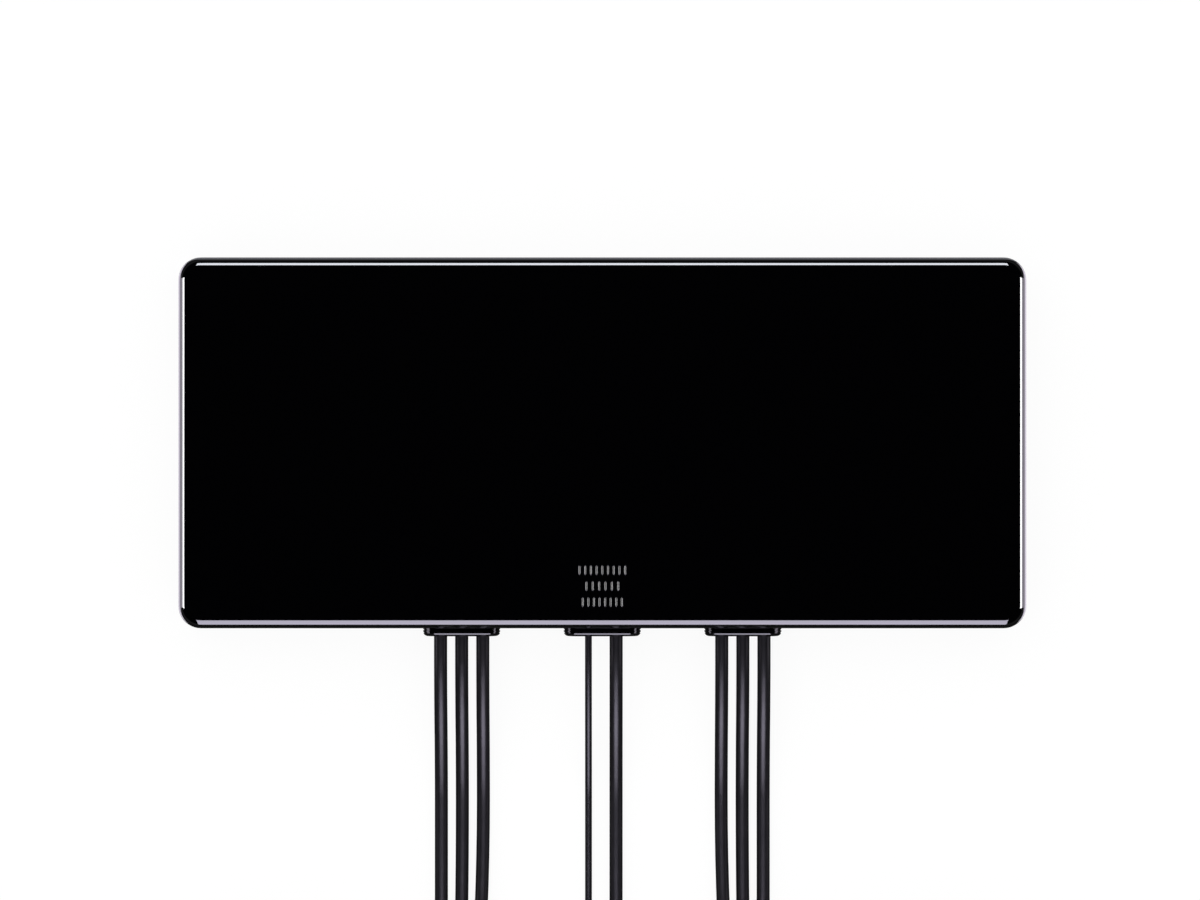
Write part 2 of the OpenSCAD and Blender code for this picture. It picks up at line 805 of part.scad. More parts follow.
module middle_inner_leads() {
    lane_x = gnss_w / 2 + 5.5;
    x = pair_pitch / 2;
    bend = (lane_x - x) / 2;
    y = -45;
    last = lane_x - wifi_w / 2;
    color("#1a1a1c") {
        inner_run(-x, exit_y, gnss_y - gnss_w / 2, thin_r);
        inner_run(x, exit_y, y, lead_r);
        inner_bend(x, y, bend, 1, lead_r);
        translate([lane_x - bend, y + 2 * bend, lead_z]) rotate([0, 0, -90]) {
            rotate_extrude(angle = 90) translate([bend, 0]) circle(lead_r);
        }
        inner_run(lane_x, y + 2 * bend, wifi_far_y - last, lead_r);
        inner_bend(lane_x, wifi_far_y - last, last, -1, lead_r);
    }
}

// Tube through a list of points, with a ring of sides at each point
function unit(v) = v / norm(v);
function heading(pts, i) = unit(pts[min(i + 1, len(pts) - 1)] - pts[max(i - 1, 0)]);
function ring(c, t, r, sides) =
    let (u = unit(cross(t, [0.05, 0.1, 1])), w = cross(u, t))
    [for (k = [0 : sides - 1]) c + r * (cos(360 * k / sides) * u + sin(360 * k / sides) * w)];

module tube(pts, r, sides) {
    n = len(pts);
    points = [for (i = [0 : n - 1]) each ring(pts[i], heading(pts, i), r, sides)];
    walls = [
        for (i = [0 : n - 2]) for (k = [0 : sides - 1])
            let (a = i * sides + k, b = i * sides + (k + 1) % sides)
            each [[a, a + sides, b], [b, a + sides, b + sides]]
    ];
    caps = [[for (k = [0 : sides - 1]) k], [for (k = [sides - 1 : -1 : 0]) (n - 1) * sides + k]];
    polyhedron(points = points, faces = concat(walls, caps));
}

// Routes of the free leads, from the gland to the outside of their coil
left_routes = [
    [[-61.3, -73.2, 12], [-61.3, -82, 12], [-61.3, -98, 10], [-61.3, -116, 5], [-61.3, -136, 2.5],
        [-61.3, -180, 2.5], [-63, -200, 2.8], [-64, -219, 3.5]],
    [[-53.3, -73.2, 12], [-53.3, -82, 12], [-53.3, -98, 10], [-53.3, -116, 5], [-53.3, -136, 2.5],
        [-53.6, -180, 2.8], [-58.4, -200, 7.4], [-63.6, -219, 9]],
    [[-45.3, -73.2, 12], [-45.3, -82, 12], [-45.3, -98, 10], [-45.3, -116, 5], [-45.3, -136, 2.5],
        [-46.2, -180, 3.4], [-54.4, -200, 12], [-63, -219, 14.5]]
];
thin_route = [[-5.25, -73.2, 12], [-5.25, -82, 12], [-5.25, -98, 10], [-5.25, -116, 5], [-5.25, -136, 1.3],
    [-5.25, -180, 1.3], [-3, -198, 5], [4, -214, 7.6], [12, -228, 7.6], [17.35, -237.1, 7.6]];
thick_route = [[5.25, -73.2, 12], [5.25, -82, 12], [5.25, -98, 10], [5.25, -116, 5], [5.25, -136, 2.5],
    [5.25, -180, 2.5], [5.25, -209.8, 3.3], [7.4, -222, 3.5], [14.2, -235.6, 3.5]];

// Each coil lead's inner end: the climb inside the coil, then the straight stretch on
// top of it. Angles run on clockwise from the lead's way in.
function spot(a, r, z) = [r * cos(a), -r * sin(a), z];
function climb_start(wind, i) = wind - step_back * i + jog;
function tail_point(a, t, z) = spot(a, climb_r, z) + t * [-sin(a), -cos(a), 0];
function tail(wind, i, z0, z1) =
    let (a0 = climb_start(wind, i), a1 = a0 + climb)
    [
        for (k = [0 : 4]) spot(a0 + climb * k / 4, climb_r, z0 + (z1 - z0) * k / 4),
        tail_point(a1, tail_l / 2, z1),
        tail_point(a1, tail_l, z1)
    ];

// Moves a piece drawn round a coil's centre, with the lead's way in on +X
module at_left_coil() {
    translate([side_coil[0], side_coil[1], 0]) children();
}
module at_middle_coil() {
    translate([middle_coil_at[0], middle_coil_at[1], 0]) rotate([0, 0, middle_entry]) children();
}

// Height of a lead's centre in its layer of the coil, and of a connector on the coil
function layer_z(i) = tie_t + lead_r + 2 * lead_r * i;
thin_layer_z = tie_t + 2 * lead_r + thin_r;
side_plug_z = 2 * tie_t + coil_h + plug_w / 2;
pair_plug_z = 2 * tie_t + pair_coil_h + plug_w / 2;

module left_lead(i) {
    color("#232126") {
        tube(left_routes[i], lead_r, 8);
        at_left_coil() tube(tail(side_wind, i, layer_z(i), side_plug_z), lead_r, 8);
    }
}

module cell_lead_1() { left_lead(0); }
module cell_lead_2() { left_lead(1); }
module wifi_lead_1() { left_lead(2); }
module cell_lead_4() { mirror([1, 0, 0]) left_lead(0); }
module cell_lead_3() { mirror([1, 0, 0]) left_lead(1); }
module wifi_lead_3() { mirror([1, 0, 0]) left_lead(2); }

module gnss_lead() {
    color("#232126") {
        tube(thin_route, thin_r, 8);
        at_middle_coil() tube(tail(middle_wind, 1, thin_layer_z, pair_plug_z), thin_r, 8);
    }
}

module wifi_lead_2() {
    color("#232126") {
        tube(thick_route, lead_r, 8);
        at_middle_coil() tube(tail(middle_wind, 0, layer_z(0), pair_plug_z), lead_r, 8);
    }
}

// Outer shape of a coil of lead, of a height h, with the round edges of its outer turns
module coil(h) {
    color("#232126") translate([0, 0, tie_t + h / 2]) rotate_extrude($fn = 96) {
        translate([(coil_in + coil_out) / 2, 0]) round_rect(coil_out - coil_in, h, coil_edge);
    }
}

module left_coil() { at_left_coil() coil(coil_h); }
module right_coil() { mirror([1, 0, 0]) left_coil(); }
module middle_coil() { at_middle_coil() coil(pair_coil_h); }

// Closed straps round a coil, one under each connector's middle and one more
module coil_ties(wind, h, count) {
    first = climb_start(wind, 0) + climb + 65;
    inner = coil_in - tie_slack;
    outer = coil_out + tie_gap;
    color("#2c2c2f") for (k = [0 : count - 1]) {
        rotate([0, 0, -first + step_back * k]) {
            translate([(inner + outer) / 2, tie_w / 2, tie_t + h / 2]) rotate([90, 0, 0]) {
                linear_extrude(tie_w) difference() {
                    round_rect(outer - inner + 2 * tie_t, h + 2 * tie_t, coil_edge + tie_t);
                    round_rect(outer - inner, h, coil_edge);
                }
            }
        }
    }
}

module left_coil_ties() { at_left_coil() coil_ties(side_wind, coil_h, 3); }
module right_coil_ties() { mirror([1, 0, 0]) left_coil_ties(); }
module middle_coil_ties() { at_middle_coil() coil_ties(middle_wind, pair_coil_h, 3); }

// Moulded connector along +X, its lead entering at x = 0: a round collar, a square
// housing with a keyed mouth, a contact pin in the mouth and a latch on top
module connector(tint, r) {
    x0 = collar_l;
    mouth = plug_w - 2 * mouth_wall;
    color(tint) difference() {
        union() {
            rotate([0, 90, 0]) cylinder(r = plug_w / 2 - 1.2, h = x0 + eps);
            for (x = [1.4, 3.6, 5.8]) {
                translate([x, 0, 0]) rotate([0, 90, 0]) cylinder(r = plug_w / 2 - 0.7, h = 1.2);
            }
            translate([x0, -plug_w / 2, -plug_w / 2]) cube([plug_l, plug_w, plug_w]);
            translate([x0 + 4, -2, plug_w / 2 - eps]) cube([plug_l - 10, 4, 1]);
            translate([x0 + plug_l - 9, -2, plug_w / 2 - eps]) cube([2.4, 4, 2]);
        }
        translate([-1, 0, 0]) rotate([0, 90, 0]) cylinder(r = r, h = 1);
        translate([x0 + plug_l - mouth_depth, -mouth / 2, -mouth / 2]) cube([mouth_depth + 1, mouth, mouth]);
        translate([x0 + plug_l - mouth_depth, -plug_w / 2 - 1, -0.8]) cube([mouth_depth + 1, 2, 1.6]);
    }
    color("#d8b25a") translate([x0 + plug_l - mouth_depth - eps, 0, 0]) {
        rotate([0, 90, 0]) cylinder(r = 0.7, h = mouth_depth - mouth_free);
    }
}

// Places a connector at the end of the tail of lead i, in a coil's own frame
module on_tail(wind, i, z) {
    a = climb_start(wind, i) + climb;
    translate(tail_point(a, tail_l, z)) rotate([0, 0, -90 - a]) children();
}

module left_connector(i, tint) {
    at_left_coil() on_tail(side_wind, i, side_plug_z) connector(tint, lead_r);
}

module cell_connector_1() { left_connector(0, "#6c2331"); }
module cell_connector_2() { left_connector(1, "#6c2331"); }
module wifi_connector_1() { left_connector(2, "#b9b3a0"); }
module cell_connector_4() { mirror([1, 0, 0]) left_connector(0, "#6c2331"); }
module cell_connector_3() { mirror([1, 0, 0]) left_connector(1, "#6c2331"); }
module wifi_connector_3() { mirror([1, 0, 0]) left_connector(2, "#b9b3a0"); }
module middle_connector(i, tint, r) {
    at_middle_coil() on_tail(middle_wind, i, pair_plug_z) connector(tint, r);
}
module gnss_connector() { middle_connector(1, "#2a4a86", thin_r); }
module wifi_connector_2() { middle_connector(0, "#b9b3a0", lead_r); }

top_cover();
base_plate();
cover_seal();
mounting_pads();
mount_inserts();
vent_plug();
cover_screws();
ground_plane();
plane_screws();
cell_element(-cell_x, cell_ys[0], -1);  // cell_element_1
cell_element(-cell_x, cell_ys[1], -1);  // cell_element_2
cell_element(cell_x, cell_ys[1], 1);  // cell_element_3
cell_element(cell_x, cell_ys[0], 1);  // cell_element_4
wifi_element(0);  // wifi_element_1
wifi_element(1);  // wifi_element_2
wifi_element(2);  // wifi_element_3
gnss_board();
gnss_patch();
gnss_shield();
gnss_standoffs();
gnss_screws();
left_gland();
middle_gland();
right_gland();
left_lead_clamp();
middle_lead_clamp();
right_lead_clamp();
clamp_screws();
left_inner_leads();
middle_inner_leads();
right_inner_leads();
cell_lead_1();
cell_lead_2();
wifi_lead_1();
gnss_lead();
wifi_lead_2();
wifi_lead_3();
cell_lead_3();
cell_lead_4();
left_coil();
middle_coil();
right_coil();
left_coil_ties();
middle_coil_ties();
right_coil_ties();
cell_connector_1();
cell_connector_2();
wifi_connector_1();
gnss_connector();
wifi_connector_2();
wifi_connector_3();
cell_connector_3();
cell_connector_4();
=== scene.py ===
"""Flat-mount combination antenna: the finish of every surface, its leads and its light.

The part lies face up on a pale floor and the camera looks straight down at it.
Lengths are in metres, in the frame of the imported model.
"""
import json
import math

import bmesh
import bpy
from mathutils import Matrix, Vector, geometry


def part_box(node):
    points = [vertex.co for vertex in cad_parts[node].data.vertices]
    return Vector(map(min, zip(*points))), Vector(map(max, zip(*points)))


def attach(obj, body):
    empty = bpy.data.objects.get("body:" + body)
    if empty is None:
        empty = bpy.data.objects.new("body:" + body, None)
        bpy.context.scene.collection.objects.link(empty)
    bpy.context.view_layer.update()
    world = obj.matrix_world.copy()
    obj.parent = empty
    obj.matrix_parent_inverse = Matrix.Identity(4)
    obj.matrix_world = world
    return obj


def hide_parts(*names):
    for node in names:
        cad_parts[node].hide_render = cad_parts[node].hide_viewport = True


MM = 0.001

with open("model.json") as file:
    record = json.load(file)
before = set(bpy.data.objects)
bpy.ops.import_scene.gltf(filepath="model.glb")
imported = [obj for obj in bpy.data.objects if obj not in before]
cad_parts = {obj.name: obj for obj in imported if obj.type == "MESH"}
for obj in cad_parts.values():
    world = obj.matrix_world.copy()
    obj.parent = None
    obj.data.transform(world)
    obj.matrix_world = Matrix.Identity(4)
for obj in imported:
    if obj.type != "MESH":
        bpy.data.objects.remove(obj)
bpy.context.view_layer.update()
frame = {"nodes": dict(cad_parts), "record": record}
nodes = frame["nodes"]
scene = bpy.context.scene

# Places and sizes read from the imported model
cover_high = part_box("top_cover")[1]
face_z = cover_high.z
half_w = cover_high.x
half_d = cover_high.y

# The leads, as in the part's source
LEAD_R = 2.5 * MM
THIN_R = 1.3 * MM

# Free stretches from the glands towards the coils, in millimetres, as in the part's source
LEFT_ROUTES = [
    [(-61.3, -73.2, 12), (-61.3, -82, 12), (-61.3, -98, 10), (-61.3, -116, 5), (-61.3, -136, 2.5),
     (-61.3, -180, 2.5), (-63, -200, 2.8), (-64, -219, 3.5)],
    [(-53.3, -73.2, 12), (-53.3, -82, 12), (-53.3, -98, 10), (-53.3, -116, 5), (-53.3, -136, 2.5),
     (-53.6, -180, 2.8), (-58.4, -200, 7.4), (-63.6, -219, 9)],
    [(-45.3, -73.2, 12), (-45.3, -82, 12), (-45.3, -98, 10), (-45.3, -116, 5), (-45.3, -136, 2.5),
     (-46.2, -180, 3.4), (-54.4, -200, 12), (-63, -219, 14.5)],
]
THIN_ROUTE = [
    (-5.25, -73.2, 12), (-5.25, -82, 12), (-5.25, -98, 10), (-5.25, -116, 5), (-5.25, -136, 1.3),
    (-5.25, -180, 1.3), (-3, -198, 5), (4, -214, 7.6), (12, -228, 7.6), (17.35, -237.1, 7.6),
]
THICK_ROUTE = [
    (5.25, -73.2, 12), (5.25, -82, 12), (5.25, -98, 10), (5.25, -116, 5), (5.25, -136, 2.5),
    (5.25, -180, 2.5), (5.25, -209.8, 3.3), (7.4, -222, 3.5), (14.2, -235.6, 3.5),
]
STRETCH_STEPS = 4

# The coils that put the leads away, as in the part's source. Each lead winds in, jogs
# inwards, climbs to the top and ends in a straight tail. Angles are in degrees, and run
# clockwise from a coil's way in, whose own angle is its start.
TURN_OUT = 57.8 * MM
TURN_IN = 20.1 * MM
CLIMB_R = 13.3 * MM
TAIL = 14.0 * MM
STEP_BACK = 90
JOG = 80
CLIMB = 160
TURN_STEP = 6
SIDE_WIND = 7 * 360 - 60
MIDDLE_ENTRY = 62.4
SIDE_COIL = {"centre": Vector((-122 * MM, -245 * MM, 0)), "start": 0.0, "wind": SIDE_WIND}
MIDDLE_COIL = {
    "centre": Vector((0, -296.5 * MM, 0)), "start": MIDDLE_ENTRY, "wind": SIDE_WIND + MIDDLE_ENTRY,
}

# The ties round the coils
TIE_T = 1.0 * MM
TIE_W = 8.0 * MM
TIE_AHEAD = JOG + CLIMB + 65
TIE_COUNT = 3
TIE_STEP = 5
TAB_START = -35
TAB_STEPS = 14
TAB_T = 0.9 * TIE_T
TAB_INSET = 0.4 * MM
STRAP_EDGE = 0.35 * MM

# Heights at which the connectors lie on their coils
PLUG_HALF = 4.5 * MM
SIDE_PLUG_Z = 2 * TIE_T + 6 * LEAD_R + PLUG_HALF
PAIR_PLUG_Z = 2 * TIE_T + 2 * LEAD_R + 2 * THIN_R + PLUG_HALF

# Each lead of a coil, from the lowest: angle that it winds, height of its layer, own radius
SIDE_LEADS = [(SIDE_WIND - STEP_BACK * i, TIE_T + LEAD_R * (2 * i + 1), LEAD_R) for i in range(3)]
PAIR_LEADS = [
    (MIDDLE_COIL["wind"], TIE_T + LEAD_R, LEAD_R),
    (MIDDLE_COIL["wind"] - STEP_BACK, TIE_T + 2 * LEAD_R + THIN_R, THIN_R),
]

# The raised bars on the face
BAR_W = 0.75 * MM
BAR_L = 3.6 * MM
BAR_RISE = 0.3 * MM

# The photograph's frame, the size of its pixels at the cover's widest line, and the camera
PHOTO_W = 1200
PHOTO_H = 900
PIXEL = 0.3775 * MM
BODY_CENTRE_PX = (602.3, 442.85)
WIDEST_Z = 20.2 * MM
LENS = 150.0
SENSOR = 36.0

# The lit cards round the part
CARD_AWAY = 0.5
LONG_CARD = 0.52
END_CARD = 0.26
EDGE_INSET = 2 * MM


def linear(code):
    """Linear colour of an sRGB hex code."""
    parts = [int(code[i:i + 2], 16) / 255 for i in (1, 3, 5)]
    return [c / 12.92 if c <= 0.04045 else ((c + 0.055) / 1.055) ** 2.4 for c in parts] + [1.0]


def add(tree, kind, links=(), **settings):
    """Adds a node with its settings and links. A link is (input, value or output socket)."""
    node = tree.nodes.new(kind)
    for name, value in settings.items():
        setattr(node, name, value)
    for name, value in links:
        if isinstance(value, bpy.types.NodeSocket):
            tree.links.new(value, node.inputs[name])
        else:
            node.inputs[name].default_value = value
    return node


def smooth(t):
    """Eases from 0 to 1 as t goes from 0 to 1."""
    t = min(1.0, max(0.0, t))
    return t * t * (3 - 2 * t)


# The camera looks straight down, so the face fills the frame as in the photograph

def make_camera():
    data = bpy.data.cameras.new("camera")
    data.lens = LENS
    data.sensor_width = SENSOR
    height = PHOTO_W * PIXEL * LENS / SENSOR
    camera = bpy.data.objects.new("camera", data)
    scene.collection.objects.link(camera)
    camera.location = (
        (PHOTO_W / 2 - BODY_CENTRE_PX[0]) * PIXEL,
        -(PHOTO_H / 2 - BODY_CENTRE_PX[1]) * PIXEL,
        WIDEST_Z + height,
    )
    data.clip_start = 0.05
    data.clip_end = 20
    scene.camera = camera


make_camera()


# Routes of the leads

def no_overshoot(a, b):
    """Slope at a point between stretches of slopes a and b, level where they turn back."""
    return 2 * a * b / (a + b) if a * b > 0 else 0.0


def free_stretch(route, coil_start, coil_way):
    """Smooth curve through a route's points and on to the start of its coil.

    Every route runs towards -Y all the way, so slopes are taken over y.
    """
    knots = [Vector(point) * MM for point in route] + [coil_start]
    stretches = [(b - a) / (b.y - a.y) for a, b in zip(knots, knots[1:])]
    slopes = [stretches[0]]
    for before, after in zip(stretches, stretches[1:]):
        slopes.append(Vector([no_overshoot(p, q) for p, q in zip(before, after)]))
    slopes.append(coil_way / coil_way.y)
    points = []
    for i, (a, b) in enumerate(zip(knots, knots[1:])):
        third = (b.y - a.y) / 3
        handles = (a + slopes[i] * third, b - slopes[i + 1] * third)
        points += geometry.interpolate_bezier(a, *handles, b, STRETCH_STEPS + 1)[:-1]
    return points


def turn_radius(angle, sweep):
    """Distance of a lead from the middle of its coil: it winds in, then steps in to climb."""
    if angle <= sweep:
        return TURN_OUT + (TURN_IN - TURN_OUT) * angle / sweep
    return TURN_IN + (CLIMB_R - TURN_IN) * smooth((angle - sweep) / JOG)


def coil_axes(coil, angle):
    """Unit vectors outwards and ahead at an angle of a coil."""
    a = math.radians(coil["start"] - angle)
    return Vector((math.cos(a), math.sin(a), 0)), Vector((math.sin(a), -math.cos(a), 0))


def along_coil(coil, sweep, layer_z, plug_z):
    """Turns of one lead in its layer, then its climb to the top and its straight end."""
    end = sweep + JOG + CLIMB
    count = round(end / TURN_STEP)
    points = []
    for k in range(count + 1):
        angle = end * k / count
        out, ahead = coil_axes(coil, angle)
        z = layer_z + (plug_z - layer_z) * smooth((angle - sweep - JOG) / CLIMB)
        points.append(coil["centre"] + out * turn_radius(angle, sweep) + Vector((0, 0, z)))
    points += [points[-1] + ahead * (TAIL * k / 4) for k in range(1, 5)]
    return points


def lead_route(route, coil, sweep, layer_z, plug_z):
    """Whole route of a lead, from its gland to its connector."""
    coiled = along_coil(coil, sweep, layer_z, plug_z)
    return free_stretch(route, coiled[0], coil_axes(coil, 0)[1]) + coiled


def mirrored(points, side):
    """The points as they are on the left, where side is -1, or mirrored on the right."""
    return [Vector((-side * p.x, p.y, p.z)) for p in points]


def make_lead(name, points, radius, material):
    """A lead as one smooth curve of its true diameter."""
    curve = bpy.data.curves.new(name, "CURVE")
    curve.dimensions = "3D"
    curve.bevel_depth = radius
    curve.bevel_resolution = 4
    curve.resolution_u = 1
    curve.use_fill_caps = True
    line = curve.splines.new("POLY")
    line.points.add(len(points) - 1)
    for point, place in zip(line.points, points):
        point.co = (*place, 1)
    line.use_smooth = True
    lead = bpy.data.objects.new(name, curve)
    scene.collection.objects.link(lead)
    curve.materials.append(material)
    return lead


# Ties: straps drawn tight round the turns, each closed by an outer tab

def held_turns(leads, angle):
    """Radius, height and own radius of every turn that a tie at an angle goes round."""
    turns = []
    for sweep, layer_z, lead_r in leads:
        a = angle % 360
        while a <= sweep + JOG:
            turns.append((turn_radius(a, sweep), layer_z, lead_r))
            a += 360
    return turns


def strap_point(turns, way, across, height):
    """Outward distance and height of a strap's point, height above the turns it lies on.

    way is the direction in which the point looks, in the plane that cuts the turns, and
    across its distance from that plane, where each turn has curved a little inwards.
    """
    d = Vector((math.cos(way), math.sin(way)))
    best = None
    for radius, z, lead_r in turns:
        place = Vector((math.sqrt(radius ** 2 - across ** 2), z))
        if best is None or place.dot(d) + lead_r > best[0]:
            best = (place.dot(d) + lead_r, place + d * lead_r)
    return best[1] + d * height


def strap_profile(half, low, high):
    """Section of a strap, as (across, height) points: square below, with soft upper edges."""
    right = [(half, low), (half, high - STRAP_EDGE), (half - STRAP_EDGE, high)]
    return right + [(-across, height) for across, height in reversed(right)]


def add_strap(mesh, place, turns, ways, profile, closed):
    """Sweeps a profile round the turns, through the directions in ways."""
    rings = []
    for way in ways:
        spots = [(strap_point(turns, way, across, height), across) for across, height in profile]
        rings.append([mesh.verts.new(place(spot, across)) for spot, across in spots])
    following = rings[1:] + rings[:1] if closed else rings[1:]
    for one, other in zip(rings, following):
        for k in range(len(profile)):
            j = (k + 1) % len(profile)
            mesh.faces.new((one[k], one[j], other[j], other[k]))
    if not closed:
        mesh.faces.new(rings[0])
        mesh.faces.new(rings[-1])


def make_tie(name, coil, leads, angle, side, material):
    """One tie round a coil of leads, side 1 for the mirrored coil on the right."""
    turns = held_turns(leads, angle)
    out, ahead = coil_axes(coil, angle)

    def place(spot, across):
        at = coil["centre"] + out * spot.x + ahead * across + Vector((0, 0, spot.y))
        return mirrored([at], side)[0]

    mesh = bmesh.new()
    around = [math.radians(TIE_STEP * k) for k in range(360 // TIE_STEP)]
    add_strap(mesh, place, turns, around, strap_profile(TIE_W / 2, 0, TIE_T), True)
    over = [math.radians(TAB_START + TIE_STEP * k) for k in range(TAB_STEPS + 1)]
    tab = strap_profile(TIE_W / 2 - TAB_INSET, TIE_T, TIE_T + TAB_T)
    add_strap(mesh, place, turns, over, tab, False)
    bmesh.ops.recalc_face_normals(mesh, faces=mesh.faces)
    data = bpy.data.meshes.new(name)
    mesh.to_mesh(data)
    mesh.free()
    data.materials.append(material)
    tie = bpy.data.objects.new(name, data)
    scene.collection.objects.link(tie)
    return tie


# Materials

def new_material(name, colour, roughness, metallic=0.0, ior=None):
    """A material with its Principled shader, and the object coordinates that its patterns use."""
    material = bpy.data.materials.new(name)
    material.use_nodes = True
    tree = material.node_tree
    shader = tree.nodes["Principled BSDF"]
    shader.inputs["Base Color"].default_value = linear(colour)
    shader.inputs["Roughness"].default_value = roughness
    shader.inputs["Metallic"].default_value = metallic
    if ior:
        shader.inputs["IOR"].default_value = ior
    coords = add(tree, "ShaderNodeTexCoord").outputs["Object"]
    return material, tree, shader, coords


def noise(tree, coords, size_mm, detail=3.0):
    """Noise whose lumps are size_mm across."""
    links = [("Vector", coords), ("Scale", 1 / (size_mm * MM)), ("Detail", detail)]
    return add(tree, "ShaderNodeTexNoise", links).outputs["Fac"]


def spread(tree, value, low, high):
    """Maps a noise of about 0.35 to 0.65 to the range low to high."""
    links = [("Value", value), ("From Min", 0.35), ("From Max", 0.65), ("To Min", low), ("To Max", high)]
    return add(tree, "ShaderNodeMapRange", links).outputs["Result"]


def bump(tree, shader, height, depth_mm, strength):
    """Raises the surface by up to depth_mm where height is 1."""
    links = [("Height", height), ("Distance", depth_mm * MM), ("Strength", strength)]
    made = add(tree, "ShaderNodeBump", links)
    tree.links.new(made.outputs["Normal"], shader.inputs["Normal"])


def two_tones(tree, shader, value, dark, light):
    """Lets the base colour wander between two near tones."""
    links = [(0, value), (6, linear(dark)), (7, linear(light))]
    mix = add(tree, "ShaderNodeMix", links, data_type="RGBA")
    tree.links.new(mix.outputs[2], shader.inputs["Base Color"])


def polished_abs():
    """Black ABS moulded against a polished tool: nearly a mirror, with a faint long-wave ripple."""
    material, tree, shader, coords = new_material("polished_abs", "#020203", 0.04, ior=1.54)
    tree.links.new(spread(tree, noise(tree, coords, 45), 0.03, 0.055), shader.inputs["Roughness"])
    bump(tree, shader, noise(tree, coords, 9, 1.0), 0.003, 0.4)
    return material


def textured_abs():
    """Black ABS with a spark-eroded texture of about 0.15 mm, drawn at 0.4 mm: dull and even."""
    material, tree, shader, coords = new_material("textured_abs", "#151517", 0.55, ior=1.54)
    grain = noise(tree, coords, 0.4, 4.0)
    two_tones(tree, shader, spread(tree, noise(tree, coords, 25), 0, 1), "#151517", "#1c1c1f")
    tree.links.new(spread(tree, grain, 0.48, 0.64), shader.inputs["Roughness"])
    bump(tree, shader, grain, 0.02, 0.5)
    return material


def moulded_rubber():
    """Black thermoplastic rubber from a bright tool: glossy, a little softer than the cover."""
    material, tree, shader, coords = new_material("moulded_rubber", "#050506", 0.11, ior=1.5)
    shader.inputs["Specular IOR Level"].default_value = 0.36
    tree.links.new(spread(tree, noise(tree, coords, 6), 0.09, 0.14), shader.inputs["Roughness"])
    bump(tree, shader, noise(tree, coords, 2.5, 1.0), 0.004, 0.3)
    return material


def seal_rubber():
    """Black EPDM cord: matt, with a fine bloom."""
    material, tree, shader, coords = new_material("seal_rubber", "#1d1d1f", 0.7)
    two_tones(tree, shader, spread(tree, noise(tree, coords, 8), 0, 1), "#1a1a1c", "#29292b")
    bump(tree, shader, noise(tree, coords, 0.5), 0.01, 0.5)
    return material


def cell_foam():
    """Dark closed-cell foam tape: matt, with cut cells of about 0.3 mm, drawn at 0.45 mm."""
    material, tree, shader, coords = new_material("cell_foam", "#2c2c2e", 0.85)
    cells = add(tree, "ShaderNodeTexVoronoi", [("Vector", coords), ("Scale", 1 / (0.45 * MM))])
    cell = cells.outputs["Distance"]
    two_tones(tree, shader, cell, "#1f1f21", "#3b3b3e")
    bump(tree, shader, cell, 0.08, 0.8)
    return material


def turned_brass():
    """Turned brass: warm metal, brighter and duller in turn where the tool cut."""
    material, tree, shader, coords = new_material("turned_brass", "#c9a24f", 0.26, 1.0)
    tree.links.new(spread(tree, noise(tree, coords, 2), 0.2, 0.38), shader.inputs["Roughness"])
    return material


def stamped_brass():
    """Rolled brass sheet, stamped: streaks along the rolling direction."""
    material, tree, shader, coords = new_material("stamped_brass", "#c4a468", 0.32, 1.0)
    stretch = add(tree, "ShaderNodeMapping", [("Vector", coords), ("Scale", (0.06, 1, 1))])
    streak = noise(tree, stretch.outputs["Vector"], 0.4)
    tree.links.new(spread(tree, streak, 0.24, 0.42), shader.inputs["Roughness"])
    bump(tree, shader, streak, 0.004, 0.4)
    return material


def zinc_steel():
    """Zinc-plated steel screws: pale grey metal, slightly cloudy."""
    material, tree, shader, coords = new_material("zinc_steel", "#a7abb0", 0.3, 1.0)
    tree.links.new(spread(tree, noise(tree, coords, 1.5), 0.24, 0.42), shader.inputs["Roughness"])
    two_tones(tree, shader, spread(tree, noise(tree, coords, 3), 0, 1), "#9a9ea3", "#b4b7bb")
    return material


def rolled_aluminium():
    """Mill-finish aluminium sheet: bright, with long rolling lines."""
    material, tree, shader, coords = new_material("rolled_aluminium", "#c6c8cb", 0.35, 1.0)
    stretch = add(tree, "ShaderNodeMapping", [("Vector", coords), ("Scale", (0.03, 1, 1))])
    line = noise(tree, stretch.outputs["Vector"], 0.6)
    tree.links.new(spread(tree, line, 0.28, 0.44), shader.inputs["Roughness"])
    bump(tree, shader, line, 0.004, 0.3)
    return material


def tin_plate():
    """Tin-plated steel shield: soft grey lustre with a faint spangle."""
    material, tree, shader, coords = new_material("tin_plate", "#b9bbbd", 0.34, 1.0)
    spangle = add(tree, "ShaderNodeTexVoronoi", [("Vector", coords), ("Scale", 1 / (2.5 * MM))])
    tree.links.new(spread(tree, spangle.outputs["Distance"], 0.3, 0.4), shader.inputs["Roughness"])
    return material


def board_laminate():
    """Glass-epoxy laminate under green solder mask: even green with a woven shimmer."""
    material, tree, shader, coords = new_material("board_laminate", "#1c5a35", 0.3)
    weave = add(tree, "ShaderNodeTexBrick", [("Vector", coords), ("Scale", 1 / (1.2 * MM))])
    two_tones(tree, shader, weave.outputs["Fac"], "#1c5a35", "#236841")
    return material


def fired_ceramic():
    """Unglazed dielectric ceramic: warm white, dull, with a fine grain."""
    material, tree, shader, coords = new_material("fired_ceramic", "#d8d2c3", 0.6)
    two_tones(tree, shader, spread(tree, noise(tree, coords, 1), 0, 1), "#d2ccbc", "#ded9cc")
    bump(tree, shader, noise(tree, coords, 0.3), 0.005, 0.4)
    return material


def moulded_acetal():
    """Grey acetal plug: smooth and slightly waxy."""
    material, tree, shader, coords = new_material("moulded_acetal", "#77777b", 0.42)
    two_tones(tree, shader, spread(tree, noise(tree, coords, 4), 0, 1), "#717175", "#7d7d81")
    return material


